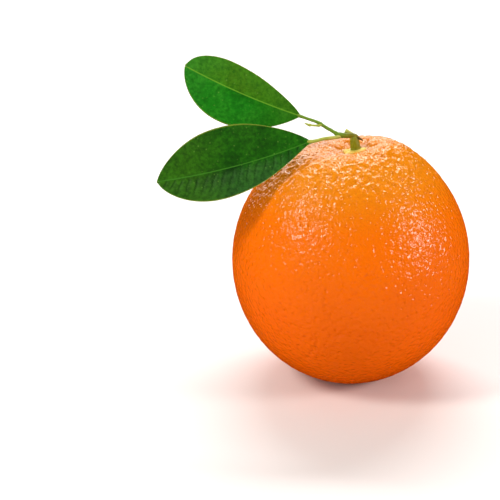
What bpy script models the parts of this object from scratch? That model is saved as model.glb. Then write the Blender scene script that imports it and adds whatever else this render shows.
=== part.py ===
"""A whole orange as picked: the fruit with its calyx, a short stem, and a twig that carries two leaves.

The fruit stands on the small flat spot under it. The origin is the middle of that spot, +Z is up, and
the twig leans towards -X. Heights on the twig are counted up from the rind, so they follow the fruit.
"""

import math
from dataclasses import dataclass

import bmesh
import bpy
from mathutils import Vector

MM = 0.001
GAP = 0.3 * MM  # left between two pieces that touch

# The fruit. Its height is counted to where the crown would peak if it had no dimple.
FRUIT_WIDTH = 80.0 * MM
FRUIT_HEIGHT = 83.5 * MM
FLAT_SPOT_WIDTH = 22.0 * MM
DIMPLE_DEPTH = 3.6 * MM
DIMPLE_SPREAD = 9.7 * MM
WELL_DEPTH = 1.5 * MM  # the narrower hollow that the calyx lies in, below the dimple
WELL_SPREAD = 5.3 * MM
CROWN_LEAN = 1.9 * MM  # the crown is this much higher on one side, and lower on the other
CROWN_LEAN_REACH = 12.0 * MM  # how far out from the stem the lean is strongest
CROWN_LEAN_HEADING = -24.0  # degrees from +X to the high side
FRUIT_RINGS = 34
FRUIT_RING_CROWDING = 1.15  # above 1, rings lie closer together at the dimple
FRUIT_SEGMENTS = 60

# The calyx, the green star that the stem stands on.
CALYX_WIDTH = 8.6 * MM
CALYX_THICKNESS = 1.2 * MM
CALYX_RIM_THICKNESS = 0.5 * MM
CALYX_LOBES = 5
CALYX_NOTCH = 0.8 * MM  # how far the bays between the lobes come in
CALYX_RINGS = 7
CALYX_SEGMENTS = 50

# The stem.
STEM_OFFSET = 0.9 * MM  # the stem stands this far off the fruit's axis, towards +X
STEM_LENGTH = 3.4 * MM
STEM_WIDTH = 3.2 * MM
STEM_FOOT_WIDTH = 3.9 * MM
STEM_LEAN = 0.6 * MM  # how far its top leans towards -X
STEM_RINGS = (  # share of the height, and the share of the lean there; both ends stand upright
    (0.0, 0.0),
    (0.12, 0.0),
    (0.35, 0.3),
    (0.65, 0.7),
    (0.88, 1.0),
    (1.0, 1.0),
)

# The twig, which lies across the stem's top, and what grows from it.
TWIG_WIDTH = 1.7 * MM
TWIG_END_WIDTH = 1.1 * MM
TWIG_HEEL = 1.0 * MM  # how far it reaches past the stem's middle on the thorn's side
THORN_LENGTH = 2.3 * MM
THORN_WIDTH = 1.1 * MM
THORN_TIP_WIDTH = 0.4 * MM
THORN_WAY = (0.9, -0.2, -0.3)  # the way it points
THORN_FOOT_SHIFT = THORN_WIDTH / 6  # clears the twig's end, as the thorn slants
STUB_LENGTH = 3.0 * MM
STUB_WIDTH = 1.4 * MM
STUB_FOOT_WIDTH = 1.26 * MM
STUB_BEND = (-0.3 * MM, 0.91 * MM, 0.0)  # from its foot to where it bends
STUB_WAY = (-0.92, 0.12, 0.38)  # the way it points past its bend
SHOOT_LENGTH = 5.6 * MM
SHOOT_WIDTH = 0.9 * MM
SHOOT_BUD_WIDTH = 1.1 * MM
SHOOT_TIP_WIDTH = 0.5 * MM
SHOOT_FOOT_WAY = (-0.9, -0.4, -0.1)  # from the twig to its foot
SHOOT_WAY = (-0.93, -0.1, 0.34)  # the way it points
SHOOT_PLACES = (  # share of its length, how far it rises off the straight way there, and its width
    (0.0, 0.0, SHOOT_WIDTH),
    (0.35, -0.15 * MM, SHOOT_WIDTH * 0.8),
    (0.6, -0.3 * MM, SHOOT_WIDTH * 0.8),
    (0.7, -0.4 * MM, SHOOT_BUD_WIDTH),
    (0.8, -0.3 * MM, SHOOT_WIDTH * 0.7),
    (1.0, 0.1 * MM, SHOOT_TIP_WIDTH),
)
PETIOLE_WIDTH = 1.2 * MM
PETIOLE_END_WIDTH = 1.0 * MM
LOWER_PETIOLE_WAY = (-0.85, -0.5, -0.12)  # the way it leaves the twig
LOWER_PETIOLE_REACH = 15.0 * MM  # from the fruit's axis to the lower leaf's foot
LOWER_PETIOLE_HEADING = 195.4  # degrees, from +X
LOWER_PETIOLE_LIFT = 5.4 * MM  # the lower leaf's foot stands this high over the rind
UPPER_PETIOLE_LENGTH = 7.3 * MM
UPPER_PETIOLE_WAY = (-0.93, 0.16, 0.33)  # from its foot to its end

SHARP_ANGLE = math.radians(35.0)  # edges that turn more than this are drawn sharp
MERGE_DISTANCE = 0.001 * MM  # points closer than this are one point
LEVEL_BELOW = 0.1 * MM  # what lies lower than this belongs to the level flat spot
TUBE_SIDES_SETTING = 2  # Blender's bevel resolution: 2 gives a tube of 8 sides
ROUTE_STEPS = 3  # points put between two points of a route

# Where the twig goes, from the middle of its stretch over the stem: along -X, back along +Y, and up.
TWIG_ROUTE = (
    (0.0, 0.0, 0.0),
    (3.0, 0.0, -0.05),
    (5.1, 0.05, 0.15),
    (7.2, 0.3, 1.4),
    (8.9, 0.5, 2.4),
    (10.7, 0.8, 3.5),
)
LOWER_PETIOLE_FORK = 1 + ROUTE_STEPS * 2  # the point of the twig that the lower petiole leaves from

# Each finish: its colour in linear light and its roughness.
RIND = ("orange_rind", (0.85, 0.19, 0.006), 0.38)
GREEN_BARK = ("green_bark", (0.12, 0.15, 0.01), 0.5)
PALE_BARK = ("pale_bark", (0.36, 0.36, 0.06), 0.55)
CALYX_SKIN = ("calyx_skin", (0.45, 0.4, 0.09), 0.6)
THORN_BARK = ("thorn_bark", (0.13, 0.13, 0.02), 0.5)
LEAF_SKIN = ("leaf_skin", (0.03, 0.14, 0.01), 0.35)


@dataclass(frozen=True)
class Leaf:
    """One leaf blade: its size, the way it points, and how its two halves are shaped and folded."""

    name: str
    length: float
    upper_width: float  # from the midrib to the upper edge
    lower_width: float
    heading: float  # degrees from +X that the midrib points, seen from above
    rise: float  # degrees that it climbs
    face_lean: float  # degrees that its face looks up from level
    upper_fold: float  # degrees that each half turns up from the midrib
    lower_fold: float
    upper_fullness: tuple  # how sharply the half narrows to its foot and to its tip; 1 is a wedge
    lower_fullness: tuple
    bow: float  # how far the midrib bows out of the leaf's plane, as a share of its length
    sweep: float  # how far the midrib curves within the plane, as a share of its length


UPPER_LEAF = Leaf("upper_leaf", 40.9 * MM, 8.3 * MM, 12.1 * MM, 170.9, 21.8, 26.6, 10.0, 12.0,
                  (0.84, 0.48), (0.94, 0.73), 0.030, -0.048)
LOWER_LEAF = Leaf("lower_leaf", 51.9 * MM, 13.6 * MM, 10.9 * MM, 193.6, -10.7, 32.9, 16.0, 18.0,
                  (0.88, 0.74), (1.21, 0.70), 0.023, -0.067)
LEAF_THICKNESS = 0.5 * MM
LEAF_END_WIDTH = 0.8 * MM  # a blade never gets narrower than this
LEAF_ARCH = 0.06  # how much each half arches between midrib and edge, as a share of its width
LEAF_ROWS = 26
LEAF_COLUMNS = 4  # on each side of the midrib


def clear_scene():
    """Removes whatever objects the file holds."""
    for obj in list(bpy.data.objects):
        bpy.data.objects.remove(obj, do_unlink=True)


def finish(name, colour, roughness):
    """A material with one colour and roughness."""
    material = bpy.data.materials.new(name)
    material.use_nodes = True
    shader = material.node_tree.nodes["Principled BSDF"]
    shader.inputs["Base Color"].default_value = (*colour, 1.0)
    shader.inputs["Roughness"].default_value = roughness
    shader.inputs["Metallic"].default_value = 0.0
    return material


def mesh_object(name, bm, material):
    """Puts a bmesh into the scene as an object with outward faces and smooth shading."""
    bmesh.ops.recalc_face_normals(bm, faces=bm.faces)
    mesh = bpy.data.meshes.new(name)
    bm.to_mesh(mesh)
    bm.free()
    mesh.materials.append(material)
    mesh.shade_smooth()
    mesh.set_sharp_from_angle(angle=SHARP_ANGLE)
    obj = bpy.data.objects.new(name, mesh)
    bpy.context.scene.collection.objects.link(obj)
    return obj


# ---------------------------------------------------------------- the fruit


def fruit_half_height():
    """Half the height of the egg shape that the flat spot cuts the bottom off."""
    cut = math.sqrt(1.0 - (FLAT_SPOT_WIDTH / FRUIT_WIDTH) ** 2)
    return FRUIT_HEIGHT / (1.0 + cut)


def fruit_middle():
    """Height of the fruit's widest ring."""
    return FRUIT_HEIGHT - fruit_half_height()


def crown_change(x, y):
    """How far the crown at x, y is moved from the plain egg shape by its dimple and its lean."""
    radius = math.hypot(x, y)
    dimple = DIMPLE_DEPTH * math.exp(-((radius / DIMPLE_SPREAD) ** 2))
    well = WELL_DEPTH * math.exp(-((radius / WELL_SPREAD) ** 2))
    turn = math.atan2(y, x) - math.radians(CROWN_LEAN_HEADING)
    share = (radius / CROWN_LEAN_REACH) ** 2
    lean = CROWN_LEAN * math.cos(turn) * share * math.exp(1.0 - share)
    return lean - dimple - well


def rind_height(x, y):
    """Height of the rind's upper side at x, y."""
    share = min(math.hypot(x, y) / (FRUIT_WIDTH / 2), 1.0)
    egg = fruit_middle() + fruit_half_height() * math.sqrt(1.0 - share * share)
    return egg + crown_change(x, y)


def build_fruit(material):
    """Spins the egg-shaped profile, closes it with the flat spot, and presses the dimple into the crown."""
    half_width = FRUIT_WIDTH / 2
    last_angle = math.pi - math.asin(FLAT_SPOT_WIDTH / FRUIT_WIDTH)
    bm = bmesh.new()
    profile = []
    for ring in range(FRUIT_RINGS + 1):
        angle = last_angle * (ring / FRUIT_RINGS) ** FRUIT_RING_CROWDING
        across = half_width * math.sin(angle)
        height = fruit_middle() + fruit_half_height() * math.cos(angle)
        profile.append(bm.verts.new((across, 0.0, height)))
    edges = [bm.edges.new(pair) for pair in zip(profile, profile[1:])]
    bmesh.ops.spin(bm, geom=profile + edges, cent=(0, 0, 0), axis=(0, 0, 1), dvec=(0, 0, 0),
                   angle=math.tau, steps=FRUIT_SEGMENTS, use_merge=True)
    bmesh.ops.remove_doubles(bm, verts=bm.verts, dist=MERGE_DISTANCE)
    open_rim = [edge for edge in bm.edges if edge.is_boundary]
    bmesh.ops.edgeloop_fill(bm, edges=open_rim)
    for vert in bm.verts:
        if vert.co.z > fruit_middle():
            vert.co.z += crown_change(vert.co.x, vert.co.y)
        if vert.co.z < LEVEL_BELOW:
            vert.co.z = 0.0
    return mesh_object("orange", bm, material)


# ---------------------------------------------------------------- the calyx


def calyx_reach(angle):
    """How far the calyx reaches from the stem's middle at an angle."""
    bay = 0.5 - 0.5 * math.cos(CALYX_LOBES * angle)
    return CALYX_WIDTH / 2 - CALYX_NOTCH * bay


def calyx_underside(x, y):
    """Height of the calyx's underside, which follows the rind."""
    return rind_height(x, y) + GAP


def calyx_seat():
    """Height of the level middle of the calyx, where the stem stands."""
    return calyx_underside(STEM_OFFSET, 0.0) + CALYX_THICKNESS


def calyx_top(x, y, out, reach):
    """Height of the calyx's upper side at x, y, where it lies out from the middle and the rim lies at reach."""
    seat_reach = STEM_FOOT_WIDTH / 2 + GAP
    share = min(max((out - seat_reach) / (reach - seat_reach), 0.0), 1.0)
    blend = share * share * (3.0 - 2.0 * share)
    rim = calyx_underside(x, y) + CALYX_RIM_THICKNESS
    return calyx_seat() * (1.0 - blend) + rim * blend


def build_calyx(material):
    """A star-shaped plate that lies in the well: level under the stem, and thinner towards its lobes."""
    bm = bmesh.new()
    under_middle = bm.verts.new((STEM_OFFSET, 0.0, calyx_underside(STEM_OFFSET, 0.0)))
    top_middle = bm.verts.new((STEM_OFFSET, 0.0, calyx_seat()))
    under_loops, top_loops = [], []
    for ring in range(1, CALYX_RINGS + 1):
        under_loop, top_loop = [], []
        for step in range(CALYX_SEGMENTS):
            angle = math.tau * step / CALYX_SEGMENTS
            reach = calyx_reach(angle)
            out = reach * ring / CALYX_RINGS
            x = STEM_OFFSET + out * math.cos(angle)
            y = out * math.sin(angle)
            under_loop.append(bm.verts.new((x, y, calyx_underside(x, y))))
            top_loop.append(bm.verts.new((x, y, calyx_top(x, y, out, reach))))
        under_loops.append(under_loop)
        top_loops.append(top_loop)
    for middle, loops in ((under_middle, under_loops), (top_middle, top_loops)):
        for step in range(CALYX_SEGMENTS):
            after = (step + 1) % CALYX_SEGMENTS
            bm.faces.new((middle, loops[0][step], loops[0][after]))
            for inner, outer in zip(loops, loops[1:]):
                bm.faces.new((inner[step], outer[step], outer[after], inner[after]))
    under_rim, top_rim = under_loops[-1], top_loops[-1]
    for step in range(CALYX_SEGMENTS):
        after = (step + 1) % CALYX_SEGMENTS
        bm.faces.new((under_rim[step], under_rim[after], top_rim[after], top_rim[step]))
    return mesh_object("calyx", bm, material)


# ---------------------------------------------------------------- stem, twig and what grows on it


def smooth_route(points):
    """Points along a smooth curve through the points given (Catmull-Rom)."""
    padded = [points[0] * 2 - points[1], *points, points[-1] * 2 - points[-2]]
    route = []
    for before, start, end, after in zip(padded, padded[1:], padded[2:], padded[3:]):
        for step in range(ROUTE_STEPS):
            t = step / ROUTE_STEPS
            route.append(0.5 * (2 * start + (end - before) * t
                                + (2 * before - 5 * start + 4 * end - after) * t ** 2
                                + (3 * start - before - 3 * end + after) * t ** 3))
    return [*route, points[-1]]


def rod(name, points, widths, material):
    """A round rod along points, with a width at each, as a bevelled curve with its ends filled."""
    curve = bpy.data.curves.new(name, "CURVE")
    curve.dimensions = "3D"
    curve.bevel_depth = 1.0 * MM
    curve.bevel_resolution = TUBE_SIDES_SETTING
    curve.use_fill_caps = True
    spline = curve.splines.new("POLY")
    spline.points.add(len(points) - 1)
    for target, point, width in zip(spline.points, points, widths):
        target.co = (*point, 1.0)
        target.radius = width / 2 / curve.bevel_depth
    spline.use_smooth = True
    curve.materials.append(material)
    obj = bpy.data.objects.new(name, curve)
    bpy.context.scene.collection.objects.link(obj)
    return obj


def taper(points, start_width, end_width):
    """A width at each of the points, from start_width to end_width."""
    last = len(points) - 1
    return [start_width + (end_width - start_width) * step / last for step in range(last + 1)]


def build_stem(material):
    """The stem, a short stout rod with a flared foot and level ends; returns the middle of its top."""
    foot = Vector((STEM_OFFSET, 0.0, calyx_seat() + GAP))
    points, widths = [], []
    for share, lean_share in STEM_RINGS:
        points.append(foot + Vector((-STEM_LEAN * lean_share, 0.0, STEM_LENGTH * share)))
        widths.append(STEM_WIDTH + (STEM_FOOT_WIDTH - STEM_WIDTH) * (1.0 - share) ** 3)
    rod("stem", points, widths, material)
    return points[-1]


def build_twig(stem_top, material):
    """The twig over the stem's top; returns the points of its route."""
    over_stem = stem_top + Vector((0.0, 0.0, GAP + TWIG_WIDTH / 2))
    heel = over_stem + Vector((TWIG_HEEL, 0.0, 0.0))
    knots = [over_stem + Vector((-left, back, up)) * MM for left, back, up in TWIG_ROUTE]
    route = [heel, *smooth_route(knots)]
    rod("twig", route, taper(route, TWIG_WIDTH, TWIG_END_WIDTH), material)
    return route


def grow_from(route, index, way, rod_width, width):
    """Where a rod of a width that leaves a route of rod_width at index along way has its foot, a gap away."""
    along = (route[index] - route[index - 1]).normalized()
    out = (way - along * way.dot(along)).normalized()
    slant = math.sqrt(1.0 - min(way.normalized().dot(out), 1.0) ** 2)
    return route[index] + out * (rod_width / 2 + GAP + slant * width / 2)


def build_thorn(route, material):
    """The thorn at the twig's heel, pointing down and away from the leaves."""
    way = Vector(THORN_WAY).normalized()
    foot = route[0] + Vector((GAP, 0.0, 0.0)) + way * THORN_FOOT_SHIFT
    points = [foot, foot + way * THORN_LENGTH / 2, foot + way * THORN_LENGTH]
    rod("thorn", points, taper(points, THORN_WIDTH, THORN_TIP_WIDTH), material)


def build_cut_stub(route, material):
    """The stub of a second twig that was cut off, behind the first one."""
    foot = grow_from(route, 1, Vector((0.0, 1.0, 0.0)), TWIG_WIDTH, STUB_WIDTH)
    bend = foot + Vector(STUB_BEND)
    tip = bend + Vector(STUB_WAY).normalized() * STUB_LENGTH
    points = [foot, bend, bend.lerp(tip, 0.5), tip]
    rod("cut_stub", points, taper(points, STUB_FOOT_WIDTH, STUB_WIDTH), material)


def build_side_shoot(route, material):
    """The thin side shoot under the fork, with one small bud near its end."""
    way = Vector(SHOOT_WAY).normalized()
    foot = grow_from(route, -2, Vector(SHOOT_FOOT_WAY), TWIG_END_WIDTH, SHOOT_WIDTH)
    points = [foot + way * SHOOT_LENGTH * share + Vector((0.0, 0.0, rise)) for share, rise, _ in SHOOT_PLACES]
    rod("side_shoot", points, [width for _, _, width in SHOOT_PLACES], material)


# ---------------------------------------------------------------- the leaves


def direction_of(heading, rise):
    """The unit vector that points along a heading and climbs by rise, both in degrees."""
    turn, climb = math.radians(heading), math.radians(rise)
    return Vector((math.cos(turn) * math.cos(climb), math.sin(turn) * math.cos(climb), math.sin(climb)))


def leaf_axis(leaf):
    """The way that a leaf's midrib points."""
    return direction_of(leaf.heading, leaf.rise)


def half_width_at(t, width, fullness):
    """A half blade's width at t, from 0 at its foot to 1 at its tip."""
    foot, tip = fullness
    widest = foot / (foot + tip)
    share = t ** foot * (1.0 - t) ** tip / (widest ** foot * (1.0 - widest) ** tip)
    least = LEAF_END_WIDTH / 2
    return least + (width - least) * share


def build_leaf(leaf, foot, material):
    """A blade with its midrib on a shallow arc from foot, its halves folded up, and a real thickness."""
    along = leaf_axis(leaf)
    tip = foot + along * leaf.length
    hint = Vector((0.0, -math.cos(math.radians(leaf.face_lean)), math.sin(math.radians(leaf.face_lean))))
    out = (hint - along * hint.dot(along)).normalized()
    across = out.cross(along)
    if across.z < 0:
        across.negate()
    pull = (foot + tip) / 2 + (out * leaf.bow + across * leaf.sweep) * leaf.length
    sides = ((leaf.lower_width, leaf.lower_fullness, leaf.lower_fold, -1.0),
             (leaf.upper_width, leaf.upper_fullness, leaf.upper_fold, 1.0))
    bm = bmesh.new()
    rows = []
    for row in range(LEAF_ROWS + 1):
        t = 0.5 - 0.5 * math.cos(math.pi * row / LEAF_ROWS)  # rows are closer together at the two ends
        middle = foot * (1 - t) ** 2 + pull * 2 * t * (1 - t) + tip * t ** 2
        ahead = ((pull - foot) * (1 - t) + (tip - pull) * t).normalized()
        up_normal = (out - ahead * out.dot(ahead)).normalized()
        sideways = (across - ahead * across.dot(ahead)).normalized()
        points = {0: bm.verts.new(middle)}
        for width, fullness, fold, sign in sides:
            reach = half_width_at(t, width, fullness)
            turn = math.radians(fold)
            for column in range(1, LEAF_COLUMNS + 1):
                share = column / LEAF_COLUMNS
                lift = share * math.sin(turn) - LEAF_ARCH * 4 * share * (1 - share)
                shift = sideways * sign * share * math.cos(turn) + up_normal * lift
                points[sign * column] = bm.verts.new(middle + shift * reach)
        rows.append([points[key] for key in sorted(points)])
    for row, after in zip(rows, rows[1:]):
        for a, b, c, d in zip(row, row[1:], after[1:], after):
            bm.faces.new((a, b, c, d))
    obj = mesh_object(leaf.name, bm, material)
    wall = obj.modifiers.new("thickness", "SOLIDIFY")
    wall.thickness = LEAF_THICKNESS
    wall.offset = 0.0
    return obj


def build_upper_petiole_and_leaf(route, petiole_material, leaf_material):
    """The upper leaf on its petiole, which carries on from the twig's end."""
    foot = route[-1] + (route[-1] - route[-2]).normalized() * GAP
    onward = (route[-1] - route[-2]).normalized() * PETIOLE_END_WIDTH
    end = foot + Vector(UPPER_PETIOLE_WAY).normalized() * UPPER_PETIOLE_LENGTH
    points = [foot, foot + onward, end - leaf_axis(UPPER_LEAF) * PETIOLE_END_WIDTH, end]
    points = [points[0], *smooth_route(points[1:3]), points[3]]
    rod("upper_petiole", points, taper(points, TWIG_END_WIDTH, PETIOLE_END_WIDTH), petiole_material)
    build_leaf(UPPER_LEAF, end + leaf_axis(UPPER_LEAF) * GAP, leaf_material)


def build_lower_petiole_and_leaf(route, petiole_material, leaf_material):
    """The lower leaf on its petiole, which leaves the twig's near side and follows the crown."""
    way = Vector(LOWER_PETIOLE_WAY).normalized()
    foot = grow_from(route, LOWER_PETIOLE_FORK, way, TWIG_WIDTH, PETIOLE_WIDTH)
    turn = math.radians(LOWER_PETIOLE_HEADING)
    x, y = LOWER_PETIOLE_REACH * math.cos(turn), LOWER_PETIOLE_REACH * math.sin(turn)
    end = Vector((x, y, rind_height(x, y) + LOWER_PETIOLE_LIFT))
    before_end = end - leaf_axis(LOWER_LEAF) * PETIOLE_END_WIDTH
    points = [foot, *smooth_route([foot + way * PETIOLE_WIDTH, foot.lerp(end, 0.5), before_end]), end]
    rod("lower_petiole", points, taper(points, PETIOLE_WIDTH, PETIOLE_END_WIDTH), petiole_material)
    build_leaf(LOWER_LEAF, end + leaf_axis(LOWER_LEAF) * GAP, leaf_material)


def build():
    """Builds every piece in its place."""
    clear_scene()
    green_bark = finish(*GREEN_BARK)
    pale_bark = finish(*PALE_BARK)
    leaf_skin = finish(*LEAF_SKIN)
    build_fruit(finish(*RIND))
    build_calyx(finish(*CALYX_SKIN))
    stem_top = build_stem(green_bark)
    route = build_twig(stem_top, green_bark)
    build_thorn(route, finish(*THORN_BARK))
    build_cut_stub(route, pale_bark)
    build_side_shoot(route, pale_bark)
    build_upper_petiole_and_leaf(route, green_bark, leaf_skin)
    build_lower_petiole_and_leaf(route, pale_bark, leaf_skin)


build()
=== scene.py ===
"""A whole orange as picked, dressed for a studio shot: fruit, calyx, short stem and a twig with two leaves.

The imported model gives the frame: metres, +Z up, the origin in the middle of the flat spot that the fruit
stands on, and the twig leaning towards -X. Each sub-assembly is a class that grows its own meshes and
dresses them, and every piece replaces the plain solid of the same part.
"""

import logging
import math
from dataclasses import dataclass
from enum import Enum

import bmesh
import bpy
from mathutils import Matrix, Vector


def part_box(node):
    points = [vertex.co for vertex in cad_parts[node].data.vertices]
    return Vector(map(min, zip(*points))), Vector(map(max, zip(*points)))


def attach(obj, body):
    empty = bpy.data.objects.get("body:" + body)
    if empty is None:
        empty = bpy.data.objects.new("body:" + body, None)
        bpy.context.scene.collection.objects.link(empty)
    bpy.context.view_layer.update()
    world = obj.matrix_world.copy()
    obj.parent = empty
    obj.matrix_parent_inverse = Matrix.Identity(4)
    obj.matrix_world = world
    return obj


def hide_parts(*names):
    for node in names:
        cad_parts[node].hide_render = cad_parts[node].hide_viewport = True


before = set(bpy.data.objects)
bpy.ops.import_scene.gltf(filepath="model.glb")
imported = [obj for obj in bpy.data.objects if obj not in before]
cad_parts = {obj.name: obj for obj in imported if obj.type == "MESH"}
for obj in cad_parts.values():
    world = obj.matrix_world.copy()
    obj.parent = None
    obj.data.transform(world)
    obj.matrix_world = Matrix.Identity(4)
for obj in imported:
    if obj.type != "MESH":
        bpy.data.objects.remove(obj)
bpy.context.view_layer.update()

Tree, Node, Object, Mesh, Material = (
    bpy.types.NodeTree, bpy.types.Node, bpy.types.Object, bpy.types.Mesh, bpy.types.Material)
MM = 0.001
log = logging.getLogger("orange")


# ---------------------------------------------------------------- tools shared by the classes


def linear(hex_colour: str) -> tuple[float, float, float, float]:
    """Turns an sRGB colour into linear light.

    Args:
        hex_colour: the colour as "#RRGGBB".

    Returns:
        Red, green, blue and an alpha of 1.
    """
    channels = []
    for start in (1, 3, 5):
        value = int(hex_colour[start:start + 2], 16) / 255.0
        channels.append(value / 12.92 if value <= 0.04045 else ((value + 0.055) / 1.055) ** 2.4)
    return (*channels, 1.0)


def add_node(tree: Tree, kind: str, inputs: dict | tuple = (), **settings) -> Node:
    """Adds a node to a tree and fills its inputs.

    Args:
        tree: the tree that gets the node.
        kind: the node's type name.
        inputs: values by socket name or, in a tuple, by place; a node or a socket is linked.
        settings: the node's own settings by name.

    Returns:
        The new node.
    """
    node = tree.nodes.new(kind)
    for name, value in settings.items():
        setattr(node, name, value)
    for key, value in inputs.items() if isinstance(inputs, dict) else enumerate(inputs):
        if isinstance(value, Node):
            value = next(socket for socket in value.outputs if socket.enabled)
        if isinstance(value, bpy.types.NodeSocket):
            tree.links.new(value, node.inputs[key])
        elif value is not None:
            node.inputs[key].default_value = value
    return node


def maths(tree: Tree, operation: str, *values, **settings) -> Node:
    """Adds a maths node that works on its values in order."""
    return add_node(tree, "ShaderNodeMath", values, operation=operation, **settings)


def product(tree: Tree, first: object, *others: object) -> Node:
    """Adds nodes that multiply all their values."""
    for other in others:
        first = maths(tree, "MULTIPLY", first, other)
    return first


def vector_maths(tree: Tree, operation: str, *values) -> Node:
    """Adds a vector maths node that works on its values in order."""
    return add_node(tree, "ShaderNodeVectorMath", values, operation=operation)


def scaled(tree: Tree, vector: object, factor: object) -> Node:
    """Adds a node that makes a vector longer or shorter."""
    return add_node(tree, "ShaderNodeVectorMath", {0: vector, "Scale": factor}, operation="SCALE")


def ranged(tree: Tree, value: object, *zone: float, smooth: bool = False) -> Node:
    """Adds a node that turns a zone's start and end, its first two numbers, into its last two."""
    kind = "SMOOTHSTEP" if smooth else "LINEAR"
    return add_node(tree, "ShaderNodeMapRange", (value, *zone), interpolation_type=kind)


def bell(tree: Tree, value: object, width: object, sharpness: float = 1.0) -> Node:
    """Adds nodes for a bell curve of a value: 1 in the middle, falling with the width."""
    share = maths(tree, "DIVIDE", value, width)
    return maths(tree, "EXPONENT", product(tree, share, share, -sharpness))


def noise(tree: Tree, place: object, size: float, detail: float, **more) -> Node:
    """Adds a noise whose grain has a size in metres."""
    return add_node(tree, "ShaderNodeTexNoise",
                    {"Vector": place, "Scale": 1.0 / size, "Detail": detail, **more})


def painted(tree: Tree, share: object, under: object, colour: str) -> Node:
    """Adds a node that lays a hex colour over another by a share."""
    return add_node(tree, "ShaderNodeMixRGB", (share, under, linear(colour)))


def ramp(tree: Tree, value: object, places: tuple, colours: tuple) -> Node:
    """Adds a colour ramp with a hex colour at each of its places, in order."""
    node = add_node(tree, "ShaderNodeValToRGB", (value,))
    elements = node.color_ramp.elements
    elements[0].position, elements[1].position = places[0], places[-1]
    for place in places[1:-1]:
        elements.new(place)
    for element, colour in zip(elements, colours):
        element.color = linear(colour)
    return node


def stored(tree: Tree, geometry: object, name: str, value: object,
           data_type: str, domain: str = "POINT") -> Node:
    """Adds a node that stores a value on a geometry under a name."""
    given = {"Geometry": geometry, "Name": name, "Value": value}
    return add_node(tree, "GeometryNodeStoreNamedAttribute", given, data_type=data_type, domain=domain)


def noted(tree: Tree, name: str, data_type: str) -> Node:
    """Adds a node that reads a stored value by its name."""
    return add_node(tree, "GeometryNodeInputNamedAttribute", (name,), data_type=data_type)


def raised(tree: Tree, geometry: object, height: object) -> Node:
    """Adds nodes that move a surface out along its normals by a height."""
    shift = scaled(tree, add_node(tree, "GeometryNodeInputNormal"), height)
    return add_node(tree, "GeometryNodeSetPosition", {"Geometry": geometry, "Offset": shift})


def start_tree(name: str, sizes: dict) -> tuple[Tree, Node]:
    """Starts a geometry tree that takes a geometry and named sizes.

    Args:
        name: the tree's name.
        sizes: each input's name with the value that it gets later, which sets its type.

    Returns:
        The tree and its input node.
    """
    kinds = {int: "NodeSocketInt", float: "NodeSocketFloat"}
    tree = bpy.data.node_groups.new(name, "GeometryNodeTree")
    tree.interface.new_socket("Geometry", in_out="INPUT", socket_type="NodeSocketGeometry")
    tree.interface.new_socket("Geometry", in_out="OUTPUT", socket_type="NodeSocketGeometry")
    for label, value in sizes.items():
        kind = kinds.get(type(value), "NodeSocketMaterial")
        tree.interface.new_socket(label, in_out="INPUT", socket_type=kind)
    return tree, add_node(tree, "NodeGroupInput")


def end_tree(tree: Tree, geometry: Node, material: object) -> None:
    """Ends a geometry tree with real geometry that carries its material.

    Args:
        tree: the tree.
        geometry: the node whose geometry is finished.
        material: the socket that gives the material.
    """
    real = add_node(tree, "GeometryNodeRealizeInstances", (geometry,))
    dressed = add_node(tree, "GeometryNodeSetMaterial", {"Geometry": real, "Material": material})
    add_node(tree, "NodeGroupOutput", (dressed,))


def show(name: str, data: object) -> Object:
    """Adds an object to the scene, at the origin."""
    piece = bpy.data.objects.new(name, data)
    bpy.context.scene.collection.objects.link(piece)
    return piece


def grow(name: str, tree: Tree, sizes: dict, seed_mesh: Mesh) -> Object:
    """Runs a geometry tree once and keeps its result as a plain mesh.

    Args:
        name: the finished piece's name.
        tree: the geometry tree.
        sizes: a value for each of the tree's named inputs.
        seed_mesh: the mesh that the tree starts from, which may be empty.

    Returns:
        The piece, at the origin, with no modifier left on it.
    """
    piece = show(name, seed_mesh)
    modifier = piece.modifiers.new("grow", "NODES")
    modifier.node_group = tree
    for item in tree.interface.items_tree:
        if item.in_out == "INPUT" and item.name in sizes:
            modifier[item.identifier] = sizes[item.name]
    evaluated = piece.evaluated_get(bpy.context.evaluated_depsgraph_get())
    mesh = bpy.data.meshes.new_from_object(evaluated)
    mesh.name = name
    piece.modifiers.clear()
    piece.data = mesh
    mesh.shade_smooth()
    return piece


def put_in_frame(piece: Object, node: str) -> None:
    """Lets a piece ride on the one body, in place of a CAD node.

    Args:
        piece: the finished piece.
        node: the CAD node that it stands for.
    """
    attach(piece, "root")
    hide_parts(node)
    log.info("%s stands for %s: %d faces", piece.name, node, len(piece.data.polygons))


def start_material(name: str, roughness: float, ior: float, shine: float = 0.4) -> tuple:
    """Starts a material with one Principled shader.

    Args:
        name: the material's name.
        roughness: the shader's roughness.
        ior: its index of refraction.
        shine: the shader's specular level.

    Returns:
        The material, its shader, its tree and the socket that gives a point's place on the object.
    """
    material = bpy.data.materials.new(name)
    material.use_nodes = True
    tree = material.node_tree
    shader = tree.nodes["Principled BSDF"]
    for label, value in (("Roughness", roughness), ("IOR", ior), ("Specular IOR Level", shine)):
        shader.inputs[label].default_value = value
    return material, shader, tree, add_node(tree, "ShaderNodeTexCoord").outputs["Object"]


def dress(shader: Node, colour: Node, relief: Node, depth: float,
          strength: float = 1.0) -> None:
    """Gives a shader its colour, and fine bumps with a depth in metres."""
    tree = shader.id_data
    bump = add_node(tree, "ShaderNodeBump", {"Strength": strength, "Distance": depth, "Height": relief})
    tree.links.new(colour.outputs["Color"], shader.inputs["Base Color"])
    tree.links.new(bump.outputs["Normal"], shader.inputs["Normal"])


# ---------------------------------------------------------------- finishes
# A zone is four numbers: where it starts and ends, and the strength at its start and at its end.


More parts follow.
